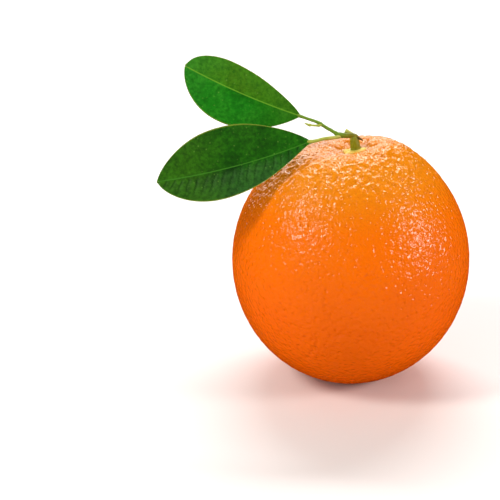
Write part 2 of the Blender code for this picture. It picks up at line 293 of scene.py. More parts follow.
@dataclass(frozen=True)
class Peel:
    """Ripe orange peel, grown: waxy skin over oil glands, so its gloss breaks into small bright flecks."""

    golden: str = "#E48A10"  # right on the crown
    sunny_and_lit: str = "#F07402"  # yellower high on the fruit: partly the skin's own colour, partly painted light
    body: str = "#EE6A00"
    deep: str = "#EA6200"  # the redder, darker skin low on the fruit: partly its own colour, partly painted shade
    scar: str = "#8A5A2A"  # the dry dot at the blossom end
    calyx_shade: str = "#D9861E"  # darker, browner skin right round the calyx: painted shade where the calyx sits in its hollow
    furrow_shade: str = "#CC740E"  # painted shade on the floors of the crown's furrows
    tones: tuple = (0.2, 0.42, 0.66)  # where the deep, body and sunny_and_lit colours lie along the mix of ripeness and painted light
    patch_ripeness: float = 0.16
    ripening_and_light: tuple = (0.2, 2.0, 0.0, 0.6)  # zones up the fruit, as shares of the widest ring's height, over which it turns yellower and lighter: partly its own colour, partly painted light and shade
    gilding: tuple = (1.45, 1.95, 0.0, 0.9)
    calyx_shading: tuple = (3.2 * MM, 7.5 * MM, 0.55, 0.0)  # zones out from the axis; the first lays the painted shade round the calyx
    drying: tuple = (1.4 * MM, 2.6 * MM, 0.9, 0.0)
    scar_below: float = 0.5
    # How strongly the furrow floors take their painted shade.
    furrow_shade_strength: float = 0.6
    gland_spacing: float = 1.7 * MM
    gland_depth: float = 0.36 * MM
    gland_reach: float = 0.5  # how far a gland's pit reaches, as a share of the spacing
    gland_weight: float = 0.75  # of the pits and of the grain in the fine bumps
    grain_weight: float = 1.7
    grain_size: float = 1.4 * MM  # of the low waves between the glands
    patch_size: float = 14.0 * MM
    glow: float = 0.08  # the share of light that goes into the skin
    glow_colour: tuple = (1.0, 0.35, 0.08)
    glow_reach: float = 1.2 * MM
    roughness: float = 0.18
    shine: float = 0.45
    ior: float = 1.46

    def material(self, middle: float) -> Material:
        """Builds the peel's material.

        Args:
            middle: height of the fruit's widest ring.

        Returns:
            The material.
        """
        material, shader, tree, place = start_material(
            "orange_peel_waxy", self.roughness, self.ior, self.shine)
        parts = add_node(tree, "ShaderNodeSeparateXYZ", (place,))
        rings = maths(tree, "DIVIDE", parts.outputs["Z"], middle)
        # Up the fruit the skin turns yellower and lighter: partly its own colour, partly painted shade low
        # down and painted light high up.
        height = ranged(tree, rings, *self.ripening_and_light, smooth=True)
        patches = noise(tree, place, self.patch_size, 3.0)
        ripe_and_lit = maths(tree, "MULTIPLY_ADD", patches, self.patch_ripeness, height)
        colour = ramp(tree, ripe_and_lit, self.tones, (self.deep, self.body, self.sunny_and_lit))

        across = add_node(tree, "ShaderNodeCombineXYZ", (parts.outputs["X"], parts.outputs["Y"], 0.0))
        radius = vector_maths(tree, "LENGTH", across).outputs["Value"]
        crowned = ranged(tree, rings, *self.gilding, smooth=True)
        high = maths(tree, "GREATER_THAN", rings, 1.0)
        # Painted shade on the skin round the calyx.
        calyx_shaded = product(tree, ranged(tree, radius, *self.calyx_shading), high)
        # Painted shade on the furrow floors, laid where the fruit's tree marked each furrow.
        furrow = add_node(tree, "ShaderNodeAttribute", attribute_name="furrow").outputs["Fac"]
        furrow_shaded = maths(tree, "MULTIPLY", furrow, self.furrow_shade_strength, use_clamp=True)
        low = maths(tree, "LESS_THAN", rings, self.scar_below)
        dried = product(tree, ranged(tree, radius, *self.drying), low)
        for share, tint in ((crowned, self.golden), (calyx_shaded, self.calyx_shade), (furrow_shaded, self.furrow_shade),
                            (dried, self.scar)):
            colour = painted(tree, share, colour, tint)

        glands = add_node(tree, "ShaderNodeTexVoronoi",
                          {"Vector": place, "Scale": 1.0 / self.gland_spacing})
        inwards = ranged(tree, glands, 0.0, self.gland_reach, 1.0, 0.0)
        pit = product(tree, inwards, inwards, -self.gland_weight)
        grain = noise(tree, place, self.grain_size, 1.5)
        relief = maths(tree, "MULTIPLY_ADD", grain, self.grain_weight, pit)
        dress(shader, colour, relief, self.gland_depth)
        shader.inputs["Subsurface Weight"].default_value = self.glow
        shader.inputs["Subsurface Radius"].default_value = self.glow_colour
        shader.inputs["Subsurface Scale"].default_value = self.glow_reach
        return material


@dataclass(frozen=True)
class Bark:
    """Green citrus bark, grown: smooth skin streaked lengthwise, satin where new and drier where old."""

    name: str
    young: str
    old: str
    streak: str
    old_from: float  # how far towards +X the bark is old
    ageing: float = 4.0 * MM  # over what length it turns old
    streak_size: float = 0.35 * MM
    streaking: tuple = (0.42, 0.7, 0.0, 0.75)
    roughness: float = 0.5
    ior: float = 1.45
    relief: tuple = (0.06 * MM, 0.7)  # depth and strength of the fine bumps

    def material(self) -> Material:
        """Builds the bark's material, which reads each rod's own lengthwise attribute."""
        material, shader, tree, place = start_material(self.name, self.roughness, self.ior)
        side = add_node(tree, "ShaderNodeSeparateXYZ", (place,))
        age = ranged(tree, side.outputs["X"], self.old_from - self.ageing, self.old_from, 0.0, 1.0)
        skin = add_node(tree, "ShaderNodeMixRGB", (age, linear(self.young), linear(self.old)))
        lengthwise = add_node(tree, "ShaderNodeAttribute", attribute_name="bark").outputs["Vector"]
        fibres = noise(tree, lengthwise, self.streak_size, 3.0)
        streaked = painted(tree, ranged(tree, fibres, *self.streaking), skin, self.streak)
        dress(shader, streaked, fibres, *self.relief)
        return material


@dataclass(frozen=True)
class CalyxSkin:
    """The calyx, grown: dry, corky sepals, straw yellow at their edges and still green next to the stem."""

    edge: str = "#F4D264"
    inner: str = "#C2C440"
    cork: str = "#C98F35"
    edging: tuple = (1.7 * MM, 3.2 * MM, 0.0, 1.0)  # out from the middle
    spot_size: float = 0.7 * MM
    corking: tuple = (0.52, 0.75, 0.0, 0.7)
    roughness: float = 0.6
    ior: float = 1.45
    relief: tuple = (0.1 * MM, 0.8)

    def material(self, centre: Vector) -> Material:
        """Builds the calyx's material.

        Args:
            centre: the point that the sepals spread from.

        Returns:
            The material.
        """
        material, shader, tree, place = start_material("calyx_corky", self.roughness, self.ior)
        out = vector_maths(tree, "DISTANCE", place, tuple(centre)).outputs["Value"]
        edge = ranged(tree, out, *self.edging)
        skin = add_node(tree, "ShaderNodeMixRGB", (edge, linear(self.inner), linear(self.edge)))
        spots = noise(tree, place, self.spot_size, 3.0)
        mottled = painted(tree, ranged(tree, spots, *self.corking), skin, self.cork)
        dress(shader, mottled, spots, *self.relief)
        return material


@dataclass(frozen=True)
class LeafSkin:
    """A citrus leaf's waxed upper skin, grown: deep green, pale on the midrib and rim, with tiny glands."""

    name: str
    shade: str  # the darkest green
    body: str
    bright: str
    upper_half_light_and_shade: str  # painted light and shade that the fold puts on the upper half
    # Painted light and painted sheen on the lower half.
    lower_half_light_and_sheen: str
    foot_tint: str  # what the blade turns towards next to its stalk
    tip_tint: str
    midrib: str
    rim: str = "#8C9C34"
    gland: str = "#6FA040"
    tones: tuple = (0.32, 0.5, 0.7)  # where shade, body and bright lie in the patches' range
    upper_zone: tuple = (-0.3 * MM, 0.6 * MM, 0.0, 0.6)  # across from the midrib; this zone and the next lay the painted light and shade on the two halves
    lower_zone: tuple = (-0.4 * MM, -3.0 * MM, 0.0, 0.55)
    foot_zone: tuple = (2.0 * MM, 17.0 * MM, 0.65, 0.0)  # along the midrib
    tip_zone: tuple = (33.0 * MM, 46.0 * MM, 0.0, 0.6)
    tip_blotch: float = 12.0 * MM  # how far the patches push the tip's tint along
    dark_mottles: tuple = (0.42, 0.66, 0.0, 0.6)
    pale_mottles: tuple = (0.46, 0.30, 0.0, 0.35)
    gland_chance: tuple = (0.6, 1.0, 0.0, 0.6)
    gland_dot: tuple = (0.05, 0.25, 1.0, 0.0)
    gland_spacing: float = 1.3 * MM
    midrib_core: float = 0.091 * MM  # its full colour reaches this far from its middle
    midrib_width: float = 0.26 * MM
    midrib_strength: float = 0.9
    rim_zone: tuple = (0.965, 1.0, 0.0, 0.8)
    patch_size: float = 9.0 * MM
    mottle_size: float = 1.3 * MM
    grain_size: float = 0.5 * MM
    relief: tuple = (0.05 * MM, 0.5)
    roughness: float = 0.45
    ior: float = 1.42
    shine: float = 0.22

    def material(self) -> Material:
        """Builds the leaf's material, which reads the blade's own attributes."""
        material, shader, tree, place = start_material(self.name, self.roughness, self.ior, self.shine)
        mark = add_node(tree, "ShaderNodeAttribute", attribute_name="blade").outputs["Vector"]
        along, across, share = add_node(tree, "ShaderNodeSeparateXYZ", (mark,)).outputs
        vein = add_node(tree, "ShaderNodeAttribute", attribute_name="vein").outputs["Fac"]
        patches = noise(tree, place, self.patch_size, 4.0)
        blotches = maths(tree, "MULTIPLY_ADD", patches, self.tip_blotch, along)
        mottles = noise(tree, place, self.mottle_size, 5.0, Roughness=0.65)
        dots = add_node(tree, "ShaderNodeTexVoronoi",
                        {"Vector": place, "Scale": 1.0 / self.gland_spacing})
        chance = add_node(tree, "ShaderNodeSeparateXYZ", (dots.outputs["Color"],)).outputs["X"]
        dot = product(tree, ranged(tree, dots, *self.gland_dot), ranged(tree, chance, *self.gland_chance))
        off_rib = maths(tree, "ABSOLUTE", across)
        rib = ranged(tree, off_rib, self.midrib_core, self.midrib_width, self.midrib_strength, 0.0)
        colour = ramp(tree, patches, self.tones, (self.shade, self.body, self.bright))
        # The first two tints paint light, shade and sheen on the two halves of the folded blade.
        for strength, tint in (
                (ranged(tree, across, *self.lower_zone), self.lower_half_light_and_sheen),
                (ranged(tree, across, *self.upper_zone), self.upper_half_light_and_shade),
                (ranged(tree, along, *self.foot_zone), self.foot_tint),
                (ranged(tree, blotches, *self.tip_zone), self.tip_tint),
                (ranged(tree, mottles, *self.dark_mottles), self.shade),
                (ranged(tree, mottles, *self.pale_mottles), self.bright),
                (vein, self.shade),
                (dot, self.gland),
                (rib, self.midrib),
                (ranged(tree, share, *self.rim_zone), self.rim)):
            colour = painted(tree, strength, colour, tint)
        dress(shader, colour, noise(tree, place, self.grain_size, 3.0), *self.relief)
        return material


# ---------------------------------------------------------------- the fruit

NOISE_SPAN = (0.25, 0.75)  # nearly all of a noise lies between these


@dataclass(frozen=True)
class Furrow:
    """One groove in the crown that runs out from the stem."""

    heading: float  # degrees from +X
    start: float
    end: float
    width: float
    depth: float


@dataclass
class Fruit:
    """The fruit: an egg shape cut off at its flat spot, with a leaning, dimpled and furrowed crown."""

    width: float
    height: float = 83.5 * MM  # to where the crown would peak without its dimple
    flat_spot_width: float = 22.0 * MM
    flat_spot_blend: float = 0.6 * MM
    dimple: tuple = (3.6 * MM, 9.7 * MM)  # depth and spread
    well: tuple = (1.5 * MM, 5.3 * MM)
    lean: float = 1.9 * MM
    lean_reach: float = 12.0 * MM
    lean_heading: float = -24.0
    stem_offset: float = 0.9 * MM
    divisions: int = 128  # points along each side of the cube that the skin is blown up from
    gland_share: float = 0.4  # of the glands' depth that is in the shape and not only in the finish
    gland_bowl: tuple = (0.0, 0.6, -1.0, 0.0)  # a zone out from a gland's middle
    pebble_size: float = 2.2 * MM
    pebble_height: float = 0.09 * MM
    pebble_strengths: tuple = (0.8, 2.0)  # on the sides and on the crown
    net_size: float = 3.3 * MM
    net_height: float = 0.34 * MM
    net_warp: float = 1.6 * MM
    net_ridge: tuple = (0.0, 0.22, 1.0, 0.0)  # a zone in from a mesh's edge
    crown_zone: tuple = (1.6, 1.86, 0.0, 1.0)  # up the fruit, as shares of the widest ring's height
    calyx_clearing: tuple = (3.0 * MM, 5.0 * MM, 0.0, 1.0)  # out from the stem
    foot_clearing: tuple = (0.2 * MM, 2.0 * MM, 0.0, 1.0)  # up from the flat spot
    furrow_sway: float = 0.9 * MM
    sway_size: float = 2.5 * MM
    furrow_fade: float = 0.35  # the share of a furrow's length that fades at each end
    crown_reach: float = 20.0 * MM  # a furrow wider than this gets less painted shade on its floor
    shaded_width: float = 1.0 * MM  # a wider furrow's floor keeps the skin's colour
    furrows: tuple = (
        Furrow(-3.0, 3.4 * MM, 9.8 * MM, 0.85 * MM, 1.15 * MM),
        Furrow(9.0, 8.6 * MM, 14.0 * MM, 0.8 * MM, 0.7 * MM),
        Furrow(60.0, 4.4 * MM, 10.5 * MM, 0.9 * MM, 0.95 * MM),
        Furrow(-38.0, 9.0 * MM, 12.4 * MM, 0.8 * MM, 0.45 * MM),
        Furrow(-42.0, 12.8 * MM, 20.5 * MM, 2.3 * MM, 0.6 * MM),
        Furrow(-57.0, 11.5 * MM, 15.5 * MM, 0.9 * MM, 0.45 * MM),
        Furrow(143.0, 3.8 * MM, 12.0 * MM, 0.9 * MM, 1.0 * MM),
        Furrow(105.0, 4.5 * MM, 10.5 * MM, 0.9 * MM, 0.7 * MM),
        Furrow(-108.0, 4.5 * MM, 9.0 * MM, 1.0 * MM, 0.4 * MM),
        Furrow(-152.0, 15.0 * MM, 28.0 * MM, 1.3 * MM, 0.7 * MM),
        Furrow(182.0, 5.0 * MM, 9.5 * MM, 0.9 * MM, 0.4 * MM),
    )

    @property
    def half_height(self) -> float:
        """Half the height of the whole egg shape."""
        return self.height / (1.0 + math.sqrt(1.0 - (self.flat_spot_width / self.width) ** 2))

    @property
    def middle(self) -> float:
        """Height of the widest ring."""
        return self.height - self.half_height

    def surface(self, x: float, y: float) -> float:
        """Height of the smooth upper skin at x, y, as the tree below shapes it.

        Args:
            x: metres towards +X.
            y: metres towards +Y.

        Returns:
            The height in metres.
        """
        radius = math.hypot(x, y)
        egg = self.middle + self.half_height * math.sqrt(1.0 - min(2.0 * radius / self.width, 1.0) ** 2)
        hollows = sum(depth * math.exp(-((radius / spread) ** 2))
                      for depth, spread in (self.dimple, self.well))
        share = (radius / self.lean_reach) ** 2
        turn = math.atan2(y, x) - math.radians(self.lean_heading)
        return egg - hollows + self.lean * math.cos(turn) * share * math.exp(1.0 - share)

    def sizes(self, peel: Peel, material: Material) -> dict:
        """The named inputs of the fruit's tree, with their values."""
        return {
            "Points Along Side": self.divisions, "Half Width": self.width / 2,
            "Half Height": self.half_height, "Middle": self.middle,
            "Dimple Depth": self.dimple[0], "Dimple Spread": self.dimple[1],
            "Well Depth": self.well[0], "Well Spread": self.well[1],
            "Lean": self.lean, "Lean Reach": self.lean_reach,
            "Lean Heading": math.radians(self.lean_heading), "Stem Offset": self.stem_offset,
            "Gland Spacing": peel.gland_spacing, "Gland Depth": peel.gland_depth * self.gland_share,
            "Pebble Size": self.pebble_size, "Pebble Height": self.pebble_height,
            "Net Size": self.net_size, "Net Height": self.net_height, "Material": material,
        }

    def tree(self, sizes: dict) -> Tree:
        """Builds the tree that blows a cube up into the fruit and presses its relief into the skin.

        Args:
            sizes: the tree's named inputs.

        Returns:
            The tree.
        """
        tree, given = start_tree("fruit_shape", sizes)
        size = given.outputs
        points = {f"Vertices {axis}": size["Points Along Side"] for axis in "XYZ"}
        cube = add_node(tree, "GeometryNodeMeshCube", {"Size": (2.0, 2.0, 2.0), **points})
        # The tangent spreads the cube's points evenly over the ball.
        corner = add_node(tree, "GeometryNodeInputPosition")
        evened = vector_maths(tree, "TANGENT", vector_maths(tree, "MULTIPLY", corner, (math.pi / 4,) * 3))
        ball = vector_maths(tree, "NORMALIZE", evened)
        reach = add_node(tree, "ShaderNodeCombineXYZ",
                         (size["Half Width"], size["Half Width"], size["Half Height"]))
        centre = add_node(tree, "ShaderNodeCombineXYZ", (0.0, 0.0, size["Middle"]))
        egg = vector_maths(tree, "MULTIPLY_ADD", ball, reach, centre)
        x, y, z = add_node(tree, "ShaderNodeSeparateXYZ", (egg,)).outputs
        flat = add_node(tree, "ShaderNodeCombineXYZ", (x, y, 0.0))
        radius = vector_maths(tree, "LENGTH", flat).outputs["Value"]

        heading = maths(tree, "ARCTAN2", y, x)
        side = maths(tree, "COSINE", maths(tree, "SUBTRACT", heading, size["Lean Heading"]))
        share = maths(tree, "DIVIDE", radius, size["Lean Reach"])
        square = product(tree, share, share)
        fading = maths(tree, "EXPONENT", maths(tree, "SUBTRACT", 1.0, square))
        change = product(tree, square, fading, side, size["Lean"])
        for hollow in ("Dimple", "Well"):
            depth = product(tree, bell(tree, radius, size[f"{hollow} Spread"]), size[f"{hollow} Depth"])
            change = maths(tree, "SUBTRACT", change, depth)
        above = maths(tree, "GREATER_THAN", z, size["Middle"])
        crowned = maths(tree, "MULTIPLY_ADD", change, above, z)
        cut = maths(tree, "SMOOTH_MAX", crowned, 0.0, self.flat_spot_blend)
        placed = add_node(tree, "ShaderNodeCombineXYZ", (x, y, cut))
        smooth = add_node(tree, "GeometryNodeSetPosition", {"Geometry": cube, "Position": placed})

        relief, furrowed = self.relief(tree, size)
        # The furrow attribute carries how much painted shade the peel lays on each furrow floor.
        marked = stored(tree, smooth, "furrow", furrowed, "FLOAT")
        end_tree(tree, raised(tree, marked, relief), size["Material"])
        return tree

    def relief(self, tree: Tree, size: bpy.types.NodeOutputs) -> tuple:
        """Adds the nodes that say how far the skin stands out: glands, pebbles, net and furrows.

        Args:
            tree: the fruit's tree.
            size: the tree's named inputs.

        Returns:
            The node that gives the height in metres, and the one that says how much painted shade a point
            in a furrow gets.
        """
        place = add_node(tree, "GeometryNodeInputPosition")
        up = add_node(tree, "ShaderNodeSeparateXYZ", (place,)).outputs["Z"]
        stem = add_node(tree, "ShaderNodeCombineXYZ", (size["Stem Offset"], 0.0, 0.0))
        out = vector_maths(tree, "SUBTRACT", place, stem)
        level = vector_maths(tree, "MULTIPLY", out, (1.0, 1.0, 0.0))
        off_calyx = ranged(tree, vector_maths(tree, "LENGTH", level).outputs["Value"], *self.calyx_clearing)
        crown = ranged(tree, maths(tree, "DIVIDE", up, size["Middle"]), *self.crown_zone, smooth=True)
        scales = {part: maths(tree, "DIVIDE", 1.0, size[part])
                  for part in ("Gland Spacing", "Pebble Size", "Net Size")}

        glands = add_node(tree, "ShaderNodeTexVoronoi", {"Vector": place, "Scale": scales["Gland Spacing"]})
        height = product(tree, ranged(tree, glands, *self.gland_bowl, smooth=True), size["Gland Depth"])

        pebbles = add_node(tree, "ShaderNodeTexNoise",
                           {"Vector": place, "Scale": scales["Pebble Size"], "Detail": 1.0})
        strength = ranged(tree, crown, 0.0, 1.0, *self.pebble_strengths)
        pebbled = product(tree, ranged(tree, pebbles, *NOISE_SPAN, -1.0, 1.0), strength)
        height = maths(tree, "MULTIPLY_ADD", pebbled, size["Pebble Height"], height)

        bent = add_node(tree, "ShaderNodeTexNoise",
                        {"Vector": place, "Scale": scales["Net Size"], "Detail": 2.0})
        warped = vector_maths(tree, "ADD", place, scaled(tree, bent.outputs["Color"], self.net_warp))
        cells = add_node(tree, "ShaderNodeTexVoronoi",
                         {"Vector": warped, "Scale": scales["Net Size"]}, feature="DISTANCE_TO_EDGE")
        netted = product(tree, ranged(tree, cells, *self.net_ridge, smooth=True), crown, off_calyx)
        height = maths(tree, "MULTIPLY_ADD", netted, size["Net Height"], height)

        furrowed = 0.0
        wobble = noise(tree, place, self.sway_size, 2.0)
        sway = ranged(tree, wobble, *NOISE_SPAN, -self.furrow_sway, self.furrow_sway)
        for furrow in self.furrows:
            turn = math.radians(furrow.heading)
            ahead, aside = (math.cos(turn), math.sin(turn), 0.0), (-math.sin(turn), math.cos(turn), 0.0)
            along = vector_maths(tree, "DOT_PRODUCT", out, ahead).outputs["Value"]
            off = vector_maths(tree, "DOT_PRODUCT", out, aside).outputs["Value"]
            section = bell(tree, maths(tree, "ADD", off, sway), furrow.width)
            fade = (furrow.end - furrow.start) * self.furrow_fade
            begin = ranged(tree, along, furrow.start, furrow.start + fade, 0.0, 1.0, smooth=True)
            finish = ranged(tree, along, furrow.end - fade, furrow.end, 1.0, 0.0, smooth=True)
            groove = product(tree, section, begin, finish)
            if furrow.end < self.crown_reach:
                groove = product(tree, groove, crown)
            height = maths(tree, "MULTIPLY_ADD", groove, -furrow.depth, height)
            # Narrow furrows take their full painted shade, wider ones less.
            tint = (self.shaded_width / furrow.width) ** 2
            furrowed = maths(tree, "MULTIPLY_ADD", groove, tint, furrowed)
        return product(tree, height, ranged(tree, up, *self.foot_clearing)), furrowed

    def build(self, peel: Peel) -> Object:
        """Grows the fruit and dresses it.

        Args:
            peel: the finish.

        Returns:
            The piece.
        """
        sizes = self.sizes(peel, peel.material(self.middle))
        piece = grow("whole_orange", self.tree(sizes), sizes, bpy.data.meshes.new("seed"))
        put_in_frame(piece, "orange")
        return piece


# ---------------------------------------------------------------- the calyx


@dataclass
class Calyx:
    """The star of five uneven sepals that holds the stem to the fruit."""

    fruit: Fruit
    centre: Vector  # on the fruit's axis side of the stem, at any height
    collar: float = 2.9 * MM  # how far it reaches between the sepals
    sepals: tuple = (  # heading in degrees from +X, and reach
        (150.0, 4.6 * MM), (222.0, 3.9 * MM), (294.0, 3.8 * MM), (6.0, 3.9 * MM), (78.0, 3.7 * MM))
    sharpness: float = 9.0
    thickness: float = 1.75 * MM
    rim_thickness: float = 0.6 * MM
    sunk: float = 0.35 * MM  # how deep its underside lies in the skin
    dome: tuple = (1.02, 4.0)  # where the rim's dome closes, and how square it is
    fall: float = 2.2  # how long the collar stays thick on its way out
    ripple: tuple = (0.05 * MM, 15.0)  # height and waves round the star
    rings: int = 22
    segments: int = 120

    def reach(self, angle: float) -> float:
        """How far the calyx reaches at an angle from its middle."""
        reach = self.collar
        for heading, length in self.sepals:
            near = math.exp(self.sharpness * (math.cos(angle - math.radians(heading)) - 1.0))
            reach += (length - self.collar) * near
        return reach

    def top(self, share: float) -> float:
        """Thickness at a share of the way out, from the domed collar to the thin sepal tips."""
        close, squareness = self.dome
        dome = math.sqrt(max(1.0 - (share / close) ** squareness, 0.0))
        collar = self.thickness - self.rim_thickness
        return self.rim_thickness * dome + collar * (1.0 - share ** self.fall)

    def build(self, finish: CalyxSkin) -> Object:
        """Lofts the star over the fruit's skin and dresses it.

        Args:
            finish: the calyx's finish.

        Returns:
            The piece.
        """
        bm = bmesh.new()
        loops = []
        for side in (1.0, 0.0):
            rings = range(1, self.rings + 1) if side else range(self.rings - 1, 0, -1)
            for ring in rings:
                share = ring / self.rings
                loop = []
                for step in range(self.segments):
                    angle = math.tau * step / self.segments
                    out = self.reach(angle) * share
                    x, y = self.centre.x + out * math.cos(angle), self.centre.y + out * math.sin(angle)
                    ripple = self.ripple[0] * math.sin(self.ripple[1] * angle) * share
                    z = self.fruit.surface(x, y) - self.sunk + side * (self.sunk + self.top(share) + ripple)
                    loop.append(bm.verts.new((x, y, z)))
                loops.append(loop)
        middle = Vector((*self.centre.xy, self.fruit.surface(*self.centre.xy)))
        middle_top = bm.verts.new(middle + Vector((0.0, 0.0, self.top(0.0))))
        middle_low = bm.verts.new(middle - Vector((0.0, 0.0, self.sunk)))
        for step in range(self.segments):
            after = (step + 1) % self.segments
            bm.faces.new((middle_top, loops[0][step], loops[0][after]))
            bm.faces.new((middle_low, loops[-1][after], loops[-1][step]))
            for inner, outer in zip(loops, loops[1:]):
                bm.faces.new((inner[step], outer[step], outer[after], inner[after]))
        bmesh.ops.recalc_face_normals(bm, faces=bm.faces)
        mesh = bpy.data.meshes.new("calyx_star")
        bm.to_mesh(mesh)
        bm.free()
        mesh.shade_smooth()
        mesh.materials.append(finish.material(middle))
        piece = show("calyx_star", mesh)
        put_in_frame(piece, "calyx")
        return piece


# ---------------------------------------------------------------- stem and twig


class Surface(Enum):
    """How the surface of a rod is worked: its ridges and its knobs, as shares of its radius."""

    RIBBED = (0.07, 0.05)
    SMOOTH = (0.03, 0.04)
    KNOBBLY = (0.04, 0.10)


@dataclass(frozen=True)
class Rod:
    """One grown rod: knots of (right, back, up, width) in millimetres from the middle of the stem's top."""

    name: str
    node: str
    slot: str
    knots: tuple
    surface: Surface = Surface.SMOOTH


@dataclass
class Twig:
    """The stem, the twig across it, and all that grows from the twig short of the leaves."""

    stem_top: Vector
    sides: int = 28
    step: float = 0.14 * MM
    grain_ring: float = 1.0 * MM  # the radius that the bark's grain is laid out on
    grain_stretch: float = 0.25  # how far the grain is drawn out lengthwise
    ridge_size: float = 0.6 * MM
    knob_size: float = 1.3 * MM
    rods: tuple = (
        Rod("fruit_stem", "stem", "green_bark", (
            (0.75, 0.0, -4.1, 4.3), (0.72, 0.0, -3.6, 3.75), (0.62, 0.0, -2.9, 3.35),
            (0.45, 0.0, -1.9, 3.05), (0.25, 0.0, -0.9, 2.85), (0.12, 0.0, 0.0, 2.7),
            (0.05, 0.0, 0.7, 2.3), (0.0, 0.0, 1.2, 1.4)), Surface.RIBBED),
        Rod("bearing_twig", "twig", "green_bark", (
            (1.25, -0.05, 0.55, 1.1), (0.6, 0.0, 0.85, 1.5), (-0.5, 0.0, 1.2, 1.75),
            (-2.97, 0.0, 1.18, 1.75), (-5.11, 0.0, 1.45, 1.85), (-6.0, 0.15, 1.95, 1.45),
            (-7.23, 0.3, 2.7, 1.2), (-8.91, 0.5, 3.64, 1.05), (-10.1, 0.7, 4.35, 1.1),
            (-10.9, 0.8, 4.9, 1.3), (-11.4, 0.85, 5.2, 1.15)), Surface.KNOBBLY),
        Rod("twig_thorn", "thorn", "thorn_bark", (
            (0.5, 0.0, 0.8, 1.3), (1.2, -0.1, 0.55, 1.12), (2.0, -0.35, 0.18, 0.8),
            (2.7, -0.5, -0.14, 0.45), (3.05, -0.6, -0.3, 0.16))),
        Rod("pruned_stub", "cut_stub", "pale_bark", (
            (0.25, 0.5, 0.8, 1.3), (-0.25, 0.85, 1.0, 1.4), (-0.95, 1.0, 1.4, 1.38),
            (-1.9, 1.2, 1.95, 1.4), (-2.6, 1.35, 2.38, 1.5), (-2.82, 1.4, 2.5, 1.25))),
        Rod("side_shoot_with_bud", "side_shoot", "pale_bark", (
            (-10.9, 0.55, 4.75, 1.0), (-11.6, 0.2, 4.62, 0.95), (-12.8, -0.1, 4.72, 0.7),
            (-13.9, -0.35, 4.85, 0.62), (-14.6, -0.55, 5.0, 1.0), (-15.2, -0.7, 5.2, 0.72),
            (-15.9, -0.85, 5.55, 0.5), (-16.5, -1.0, 5.9, 0.18)), Surface.KNOBBLY),
        Rod("upper_leaf_stalk", "upper_petiole", "green_bark", (
            (-10.8, 0.8, 4.85, 1.15), (-11.85, 0.9, 5.41, 1.1), (-13.1, 1.15, 5.85, 1.0),
            (-14.51, 1.4, 6.25, 0.98), (-16.4, 1.75, 6.85, 1.0), (-17.4, 1.9, 7.15, 1.1),
            (-18.0, 2.0, 7.38, 1.12), (-18.8, 2.1, 7.68, 0.75))),
        Rod("lower_leaf_stalk", "lower_petiole", "pale_bark", (
            (-4.4, -0.2, 1.2, 1.3), (-5.64, -1.0, 0.95, 1.25), (-7.8, -1.75, 0.95, 1.15),
            (-10.07, -2.5, 0.87, 1.12), (-12.0, -3.15, 0.6, 1.1), (-13.6, -3.65, 0.42, 1.15),
            (-14.6, -3.95, 0.42, 1.3), (-15.5, -4.2, 0.3, 0.85))),
    )

    def tree(self, sizes: dict) -> Tree:
        """Builds the tree that sweeps a ring along a route and roughens it.

        Args:
            sizes: the tree's named inputs.

        Returns:
            The tree.
        """
        tree, given = start_tree("rod_sweep", sizes)
        size = given.outputs
        line = add_node(tree, "GeometryNodeMeshToCurve", (given,))
        bent = add_node(tree, "GeometryNodeCurveSplineType", (line,), spline_type="CATMULL_ROM")
        radius = product(tree, noted(tree, "width", "FLOAT"), 0.5)
        even = add_node(tree, "GeometryNodeResampleCurve",
                        {"Curve": bent, "Length": size["Step"]}, mode="LENGTH")
        travel = add_node(tree, "GeometryNodeSplineParameter").outputs["Length"]
        rail = stored(tree, even, "travel", travel, "FLOAT")
        ring = add_node(tree, "GeometryNodeCurvePrimitiveCircle",
                        {"Resolution": size["Sides"], "Radius": 1.0})
        around = add_node(tree, "GeometryNodeInputPosition")
        marked = stored(tree, ring, "around", around, "FLOAT_VECTOR")
        tube = add_node(tree, "GeometryNodeCurveToMesh",
                        {"Curve": rail, "Profile Curve": marked, "Scale": radius, "Fill Caps": True})

        ring_place = scaled(tree, noted(tree, "around", "FLOAT_VECTOR"), self.grain_ring)
        stretched = product(tree, noted(tree, "travel", "FLOAT"), self.grain_stretch)
        lengthwise = add_node(tree, "ShaderNodeCombineXYZ", (0.0, 0.0, stretched))
        bark = vector_maths(tree, "ADD", ring_place, lengthwise)
        grained = stored(tree, tube, "bark", bark, "FLOAT_VECTOR")
        ridge = ranged(tree, noise(tree, bark, self.ridge_size, 1.0), *NOISE_SPAN, -1.0, 1.0)
        place = add_node(tree, "GeometryNodeInputPosition")
        knob = ranged(tree, noise(tree, place, self.knob_size, 1.0), *NOISE_SPAN, -1.0, 1.0)
        height = maths(tree, "MULTIPLY_ADD", knob, size["Knobs"], product(tree, ridge, size["Ridges"]))
        end_tree(tree, raised(tree, grained, height), size["Material"])
        return tree

    def route(self, rod: Rod) -> Mesh:
        """A line mesh through a rod's knots, with the rod's width at each."""
        mesh = bpy.data.meshes.new(f"{rod.name}_route")
        places = [self.stem_top + Vector(knot[:3]) * MM for knot in rod.knots]
        mesh.from_pydata(places, [(index, index + 1) for index in range(len(places) - 1)], [])
        width = mesh.attributes.new("width", "FLOAT", "POINT")
        width.data.foreach_set("value", [knot[3] * MM for knot in rod.knots])
        return mesh

    def leaf_foot(self, node: str) -> Vector:
        """Where the leaf starts on the stalk that stands for a CAD node."""
        rod = next(rod for rod in self.rods if rod.node == node)
        return self.stem_top + Vector(rod.knots[-2][:3]) * MM

